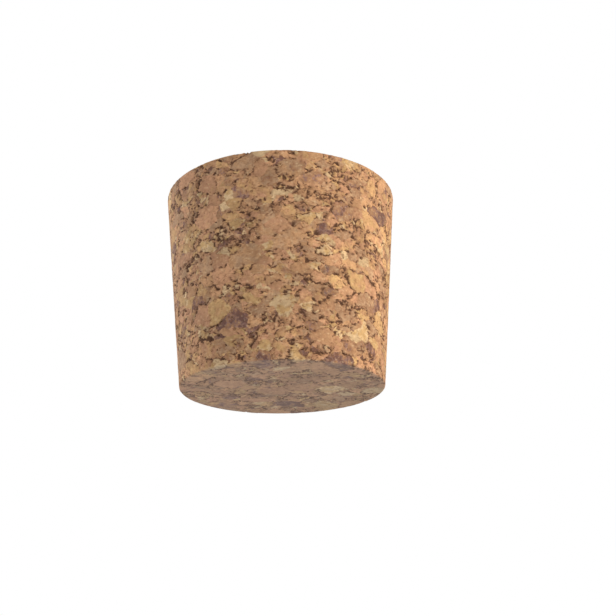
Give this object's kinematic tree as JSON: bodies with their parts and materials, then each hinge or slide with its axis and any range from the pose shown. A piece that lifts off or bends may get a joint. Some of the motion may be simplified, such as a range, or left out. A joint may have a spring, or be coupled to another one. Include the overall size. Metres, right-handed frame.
{
  "type": "cork stopper",
  "caption": "Tapered round plug of pressed cork granules that closes a jar, flask or bottle mouth; stands on its narrow end.",
  "frame": {"origin": "centre of the narrow end face, on which the stopper stands", "axes": "+Z along the stopper's axis, from the narrow end to the wide end; X and Y are alike"},
  "size_m": [0.035, 0.035, 0.03],
  "materials": {
    "cork": "pressed cork granules, ground matt"
  },
  "bodies": {
    "root": {"stopper_body": "cork"}
  },
  "joints": []
}
